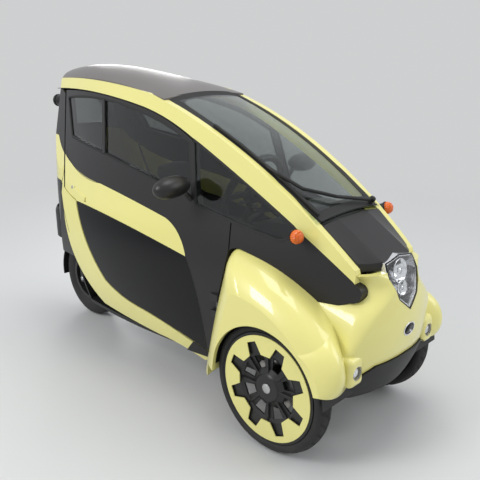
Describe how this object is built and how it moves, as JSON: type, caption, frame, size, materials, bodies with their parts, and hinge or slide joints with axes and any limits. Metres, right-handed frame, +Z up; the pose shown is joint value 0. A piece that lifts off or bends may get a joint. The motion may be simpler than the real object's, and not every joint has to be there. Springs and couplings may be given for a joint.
{
  "type": "three wheeled electric car",
  "caption": "Narrow closed electric car on three wheels with two seats in line, two doors, a steered rear wheel and a low pointed nose.",
  "frame": {"origin": "on the ground under the middle of the car's box", "axes": "+X forward, +Y to the car's left, +Z up"},
  "size_m": [2.35, 1, 1.4451],
  "materials": {
    "yellow_paint": "gloss",
    "roof_paint": "satin",
    "charcoal": "satin",
    "black_gloss": "gloss",
    "glazing": "clear, tinted",
    "lamp_glass": "clear",
    "reflector": "polished",
    "orange_lens": "gloss",
    "tyre": "matte",
    "rim_black": "black, satin",
    "steel": "satin",
    "seat_fabric": "matte",
    "trim": "matte"
  },
  "bodies": {
    "body": {"battery_block": "trim", "dashboard": "trim", "fenders": "yellow_paint", "fixed_glass": "glazing", "floor_tub": "trim", "fog_lamps": "lamp_glass", "front_bumper": "trim", "front_suspension": "steel", "headlamp_housing": "reflector", "headlamp_lens": "lamp_glass", "hood": "charcoal", "lower_bands": "yellow_paint", "nose": "yellow_paint", "pedals": "steel", "rails": "yellow_paint", "rear_guard": "trim", "rear_lamps": "black_gloss", "rear_shell": "charcoal", "roof": "roof_paint", "seat_front": "seat_fabric", "seat_rear": "seat_fabric", "side_panels": "charcoal", "signal_stalks": "trim", "steering_column": "trim", "turn_signals": "orange_lens", "windscreen": "glazing", "wiper": "trim"},
    "door_left": {"door_shell_left": "charcoal", "door_band_left": "yellow_paint", "door_panel_left": "black_gloss", "door_glass_left": "glazing", "mirror_left": "charcoal"},
    "door_right": {"door_shell_right": "charcoal", "door_band_right": "yellow_paint", "door_panel_right": "black_gloss", "door_glass_right": "glazing", "mirror_right": "charcoal"},
    "wheel_front_left": {"front_tyre_left": "tyre", "front_rim_left": "rim_black", "front_cover_left": "yellow_paint"},
    "wheel_front_right": {"front_tyre_right": "tyre", "front_rim_right": "rim_black", "front_cover_right": "yellow_paint"},
    "steer_fork": {"rear_fork": "trim"},
    "wheel_rear": {"rear_tyre": "tyre", "rear_rim": "rim_black"},
    "hand_wheel": {"steering_wheel": "trim"}
  },
  "joints": [
    {"name": "door_left_hinge", "type": "hinge", "parent": "body", "child": "door_left", "pos_m": [0.505, 0.338, 0.5], "axis": [0, 0, -1], "range_deg": [0, 60]},
    {"name": "door_right_hinge", "type": "hinge", "parent": "body", "child": "door_right", "pos_m": [0.505, -0.338, 0.5], "axis": [0, 0, 1], "range_deg": [0, 60]},
    {"name": "wheel_front_left_spin", "type": "hinge", "parent": "body", "child": "wheel_front_left", "pos_m": [0.81, 0.355, 0.265], "axis": [0, 1, 0], "continuous": true},
    {"name": "wheel_front_right_spin", "type": "hinge", "parent": "body", "child": "wheel_front_right", "pos_m": [0.81, -0.355, 0.265], "axis": [0, 1, 0], "continuous": true},
    {"name": "rear_steer", "type": "hinge", "parent": "body", "child": "steer_fork", "pos_m": [-0.89, 0, 0.54], "axis": [0, 0, 1], "range_deg": [-30, 30]},
    {"name": "wheel_rear_spin", "type": "hinge", "parent": "steer_fork", "child": "wheel_rear", "pos_m": [-0.89, 0, 0.235], "axis": [0, 1, 0], "continuous": true},
    {"name": "hand_wheel_turn", "type": "hinge", "parent": "body", "child": "hand_wheel", "pos_m": [0.395, 0, 0.905], "axis": [-0.9135, 0, 0.4067], "range_deg": [-150, 150]}
  ],
  "couplings": [
    {"joint": "hand_wheel_turn", "follows": "rear_steer", "ratio": -5}
  ]
}
